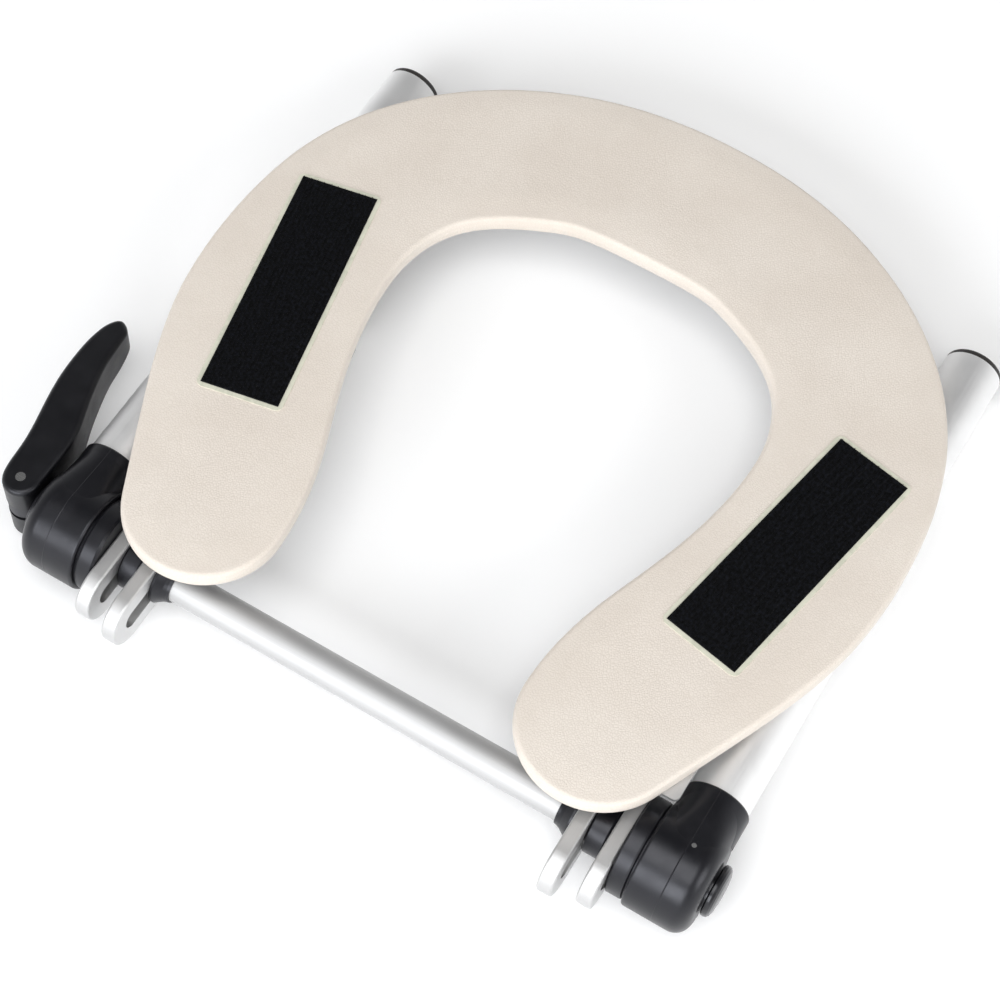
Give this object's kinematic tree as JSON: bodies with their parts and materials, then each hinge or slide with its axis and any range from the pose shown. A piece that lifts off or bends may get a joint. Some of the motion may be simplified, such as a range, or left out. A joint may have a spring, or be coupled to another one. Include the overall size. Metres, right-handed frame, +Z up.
{
  "type": "face cradle cushion",
  "caption": "Face cradle for a massage table: a padded horseshoe board on slotted arms that tilt and slide on a two-post frame, held by one cam lever.",
  "frame": {"origin": "midway between the two post axes, in line with the clamp axis seen from above", "axes": "+X along the crossbar, away from the cam lever; +Y along the posts, towards their free ends; +Z up through the padded board"},
  "size_m": [0.2825, 0.2699, 0.0476],
  "materials": {
    "post_tube": "satin",
    "arm_plate": "satin",
    "steel": "bright",
    "black_plastic": "satin",
    "cap_plastic": "satin",
    "nut_gloss": "gloss",
    "plywood": "matte",
    "vinyl": "fine grain",
    "lining": "matte",
    "hook_tape": "matte",
    "film": "translucent"
  },
  "bodies": {
    "post_frame": {"post_left": "post_tube", "post_cap_left": "cap_plastic", "housing_left": "black_plastic", "friction_disc_left": "black_plastic", "collar_left": "black_plastic", "post_right": "post_tube", "post_cap_right": "cap_plastic", "housing_right": "black_plastic", "friction_disc_right": "black_plastic", "collar_right": "black_plastic", "crossbar_tube": "post_tube", "cam_washer": "black_plastic", "retaining_pin": "steel"},
    "tie_rod": {"tie_rod": "steel", "rod_eye": "black_plastic", "cam_pin": "steel", "cap_nut": "nut_gloss"},
    "cam_lever": {"lever_body": "black_plastic"},
    "slot_guides": {"slot_guide_left": "black_plastic", "slot_guide_right": "black_plastic"},
    "board": {"arm_left_outer": "arm_plate", "arm_left_inner": "arm_plate", "bracket_left": "arm_plate", "patch_film_left": "film", "hook_patch_left": "hook_tape", "arm_bolt_left_front": "steel", "arm_nut_left_front": "steel", "arm_spacer_left_front": "steel", "arm_bolt_left_back": "steel", "arm_nut_left_back": "steel", "arm_spacer_left_back": "steel", "board_screw_left_1": "steel", "board_screw_left_2": "steel", "board_screw_left_3": "steel", "arm_right_outer": "arm_plate", "arm_right_inner": "arm_plate", "bracket_right": "arm_plate", "patch_film_right": "film", "hook_patch_right": "hook_tape", "arm_bolt_right_front": "steel", "arm_nut_right_front": "steel", "arm_spacer_right_front": "steel", "arm_bolt_right_back": "steel", "arm_nut_right_back": "steel", "arm_spacer_right_back": "steel", "board_screw_right_1": "steel", "board_screw_right_2": "steel", "board_screw_right_3": "steel", "board_core": "plywood", "board_cover": "vinyl", "bottom_lining": "lining"}
  },
  "joints": [
    {"name": "rod_travel", "type": "slide", "parent": "post_frame", "child": "tie_rod", "axis": [1, 0, 0], "range_m": [0, 0.0006]},
    {"name": "lever_swing", "type": "hinge", "parent": "tie_rod", "child": "cam_lever", "pos_m": [-0.1363, 0, -0.0052], "axis": [0, 0, 1], "range_deg": [0, 110]},
    {"name": "arm_tilt", "type": "hinge", "parent": "post_frame", "child": "slot_guides", "pos_m": [0, 0, -0.0052], "axis": [1, 0, 0], "range_deg": [0, 70]},
    {"name": "arm_slide", "type": "slide", "parent": "slot_guides", "child": "board", "axis": [0, 1, 0], "range_m": [-0.041, 0.011]}
  ],
  "couplings": [
    {"joint": "rod_travel", "follows": "lever_swing", "m_per_rad": 0.00031249}
  ]
}
